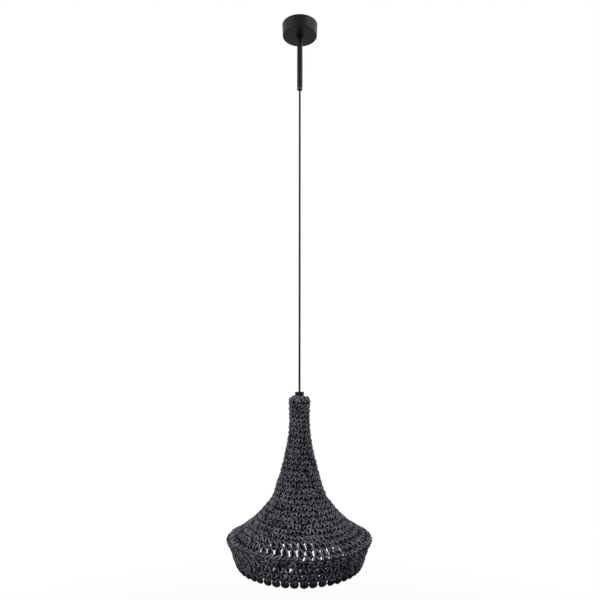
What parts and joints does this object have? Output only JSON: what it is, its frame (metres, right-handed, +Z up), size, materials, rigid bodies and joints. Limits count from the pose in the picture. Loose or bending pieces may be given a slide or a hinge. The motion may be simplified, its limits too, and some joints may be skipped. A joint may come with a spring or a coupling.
{
  "type": "pendant lamp",
  "caption": "Pendant lamp with a round canopy, slim stem, long cable and a trumpet-shaped shade crocheted from rope.",
  "frame": {"origin": "centre of the ceiling strap's top face, where the lamp meets the ceiling, on its axis", "axes": "+Z up to the ceiling, the lamp hanging down along -Z; -Y faces the viewer of the picture"},
  "size_m": [0.369, 0.3702, 1.4913],
  "materials": {
    "black_paint": "satin",
    "black_plastic": "matte",
    "cable_cloth": "matte",
    "rope": "matte",
    "frame_wire": "satin",
    "zinc_steel": "satin",
    "brass": "satin",
    "block_plastic": "satin",
    "wire_brown": "satin",
    "wire_blue": "satin",
    "wire_green": "satin",
    "opal_glass": "satin",
    "white_plastic": "satin"
  },
  "bodies": {
    "ceiling_mount": {"ceiling_strap": "zinc_steel", "hanger_yoke": "zinc_steel", "stem_nipple": "zinc_steel", "stem_nut": "zinc_steel", "stem_washer": "zinc_steel", "ceiling_cord_grip": "black_plastic", "terminal_block": "block_plastic", "live_wire": "wire_brown", "neutral_wire": "wire_blue", "earth_wire": "wire_green", "stem_tube": "black_paint", "stem_end_bush": "black_plastic", "cable_in_stem": "cable_cloth"},
    "canopy": {"canopy_cup": "black_paint", "canopy_collar": "black_paint", "collar_grub_screw": "zinc_steel"},
    "cable_top": {"cable_stem_bend": "cable_cloth"},
    "cable": {"hanging_cable": "cable_cloth"},
    "cable_end": {"cable_cap_bend": "cable_cloth"},
    "shade": {"cable_in_neck": "cable_cloth", "cable_cap": "black_paint", "cap_grub_screw": "zinc_steel", "inner_cord_grip": "black_plastic", "hanging_tube": "zinc_steel", "holder_sleeve": "black_paint", "sleeve_nut": "zinc_steel", "lampholder_body": "black_plastic", "lampholder_screw_shell": "brass", "lampholder_contact": "brass", "frame_neck_ring": "frame_wire", "frame_waist_ring": "frame_wire", "frame_lip_ring": "frame_wire", "frame_foot_ring": "frame_wire", "frame_rib_1": "frame_wire", "frame_rib_2": "frame_wire", "frame_rib_3": "frame_wire", "frame_rib_4": "frame_wire", "frame_strut_1": "frame_wire", "frame_strut_2": "frame_wire", "frame_strut_3": "frame_wire", "frame_strut_4": "frame_wire", "crochet_neck": "rope", "crochet_cone": "rope", "crochet_flare": "rope", "crochet_band": "rope", "crochet_edging": "rope"},
    "bulb": {"bulb_globe": "opal_glass", "bulb_collar": "white_plastic", "bulb_screw_base": "zinc_steel", "bulb_tip_contact": "brass"}
  },
  "joints": [
    {"name": "canopy_slide", "type": "slide", "parent": "ceiling_mount", "child": "canopy", "axis": [0, 0, -1], "range_m": [0, 0.15]},
    {"name": "swing_side", "type": "hinge", "parent": "ceiling_mount", "child": "cable_top", "pos_m": [0, 0, -0.2029], "axis": [0, 1, 0], "range_deg": [-40, 40]},
    {"name": "swing_fore", "type": "hinge", "parent": "cable_top", "child": "cable", "pos_m": [0, 0, -0.2329], "axis": [1, 0, 0], "range_deg": [-40, 40]},
    {"name": "shade_turn", "type": "hinge", "parent": "cable", "child": "cable_end", "pos_m": [0, 0, -1.0251], "axis": [0, 0, 1], "range_deg": [-180, 180]},
    {"name": "shade_tilt", "type": "hinge", "parent": "cable_end", "child": "shade", "pos_m": [0, 0, -1.0551], "axis": [1, 0, 0], "range_deg": [-20, 20]},
    {"name": "bulb_out", "type": "slide", "parent": "shade", "child": "bulb", "axis": [0, 0, -1], "range_m": [0, 0.021]}
  ]
}
